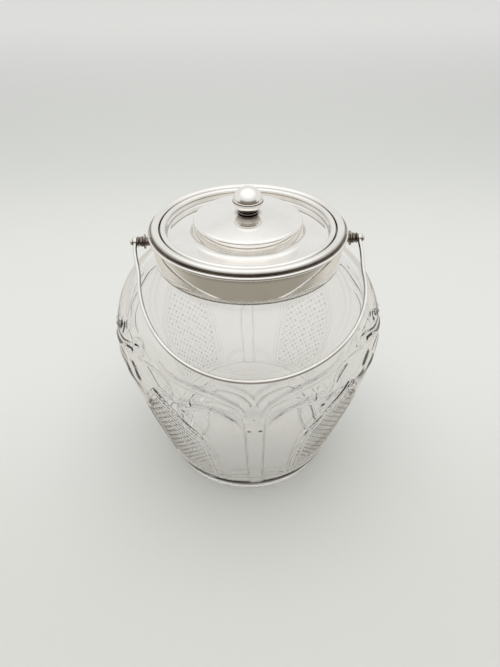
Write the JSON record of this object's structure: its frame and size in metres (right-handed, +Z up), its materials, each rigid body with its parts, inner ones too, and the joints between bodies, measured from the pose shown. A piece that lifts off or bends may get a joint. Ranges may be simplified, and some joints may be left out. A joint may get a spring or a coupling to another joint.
{
  "type": "biscuit barrel",
  "caption": "Moulded clear glass biscuit barrel with a silver-plated collar, a swinging wire bail handle and a domed lift-off lid with a ball knob.",
  "frame": {"origin": "centre of the jar's footprint on the surface it stands on", "axes": "+Z up along the jar's axis; +X along the line through the bail's two pivots; the bail rests on the -Y side"},
  "size_m": [0.1658, 0.1656, 0.1931],
  "materials": {
    "clear_glass": "clear moulded glass, fire-polished",
    "plaster": "dull white plaster",
    "silver_plate": "polished silver plate with light wear",
    "brass": "plain turned brass"
  },
  "bodies": {
    "jar": {"glass_jar": "clear_glass", "plaster_bed": "plaster", "neck_collar": "silver_plate", "collar_edge_wire": "silver_plate", "left_pivot_post": "silver_plate", "left_pivot_washer": "silver_plate", "left_pivot_screw": "silver_plate", "right_pivot_post": "silver_plate", "right_pivot_washer": "silver_plate", "right_pivot_screw": "silver_plate"},
    "bail": {"bail_handle": "silver_plate"},
    "lid": {"lid_shell": "silver_plate", "lid_bead": "silver_plate", "finial_collet": "silver_plate", "finial_bowl": "silver_plate", "finial_cap": "silver_plate", "finial_stud": "brass", "lid_washer": "brass", "lid_nut": "brass"}
  },
  "joints": [
    {"name": "bail_swing", "type": "hinge", "parent": "jar", "child": "bail", "pos_m": [0, 0, 0.161], "axis": [-1, 0, 0], "range_deg": [0, 228]},
    {"name": "lid_lift", "type": "slide", "parent": "jar", "child": "lid", "axis": [0, 0, 1], "range_m": [0, 0.12]}
  ]
}
